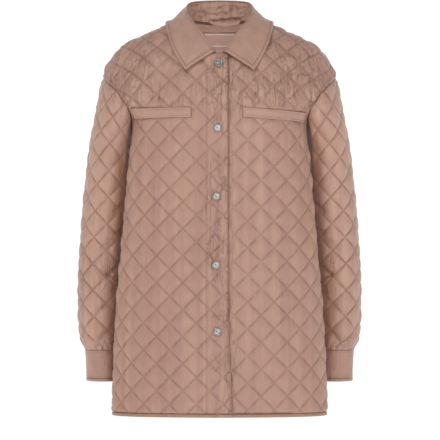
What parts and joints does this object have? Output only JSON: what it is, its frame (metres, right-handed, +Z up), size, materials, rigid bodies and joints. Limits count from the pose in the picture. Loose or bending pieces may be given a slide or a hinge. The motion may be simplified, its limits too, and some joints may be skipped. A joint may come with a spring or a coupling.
{
  "type": "quilted jacket",
  "caption": "Hollow filled-out snap-front quilted jacket with a turned-down collar, chest welts, dropped shoulders and plain cuffs.",
  "frame": {"origin": "middle of the neck opening, where the jacket hangs on its wearer, a little below the back neck seam", "axes": "+Z up, the front faces -Y, +X towards the wearer's left, which is the viewer's right"},
  "size_m": [0.528, 0.2623, 0.7675],
  "materials": {
    "quilted_nylon": "quilted nylon with a soft satin sheen",
    "plain_nylon": "plain nylon with a soft satin sheen",
    "facing_cloth": "smooth lining cloth",
    "label_cloth": "woven satin, bare",
    "snap_metal": "satin nickel"
  },
  "bodies": {
    "root": {"front_right": "quilted_nylon", "front_left": "quilted_nylon", "back": "quilted_nylon", "sleeve_left": "quilted_nylon", "sleeve_right": "quilted_nylon", "hem_binding_front_right": "plain_nylon", "hem_binding_front_left": "plain_nylon", "hem_binding_back": "plain_nylon", "welt_right": "plain_nylon", "welt_left": "plain_nylon", "cuff_left": "plain_nylon", "cuff_right": "plain_nylon", "cuff_binding_left": "plain_nylon", "cuff_binding_right": "plain_nylon", "collar_stand": "plain_nylon", "collar_fall": "plain_nylon", "hanger_loop": "plain_nylon", "back_facing": "facing_cloth", "neck_label": "label_cloth", "snap_1": "snap_metal", "snap_2": "snap_metal", "snap_3": "snap_metal", "snap_4": "snap_metal", "snap_5": "snap_metal"}
  },
  "joints": []
}
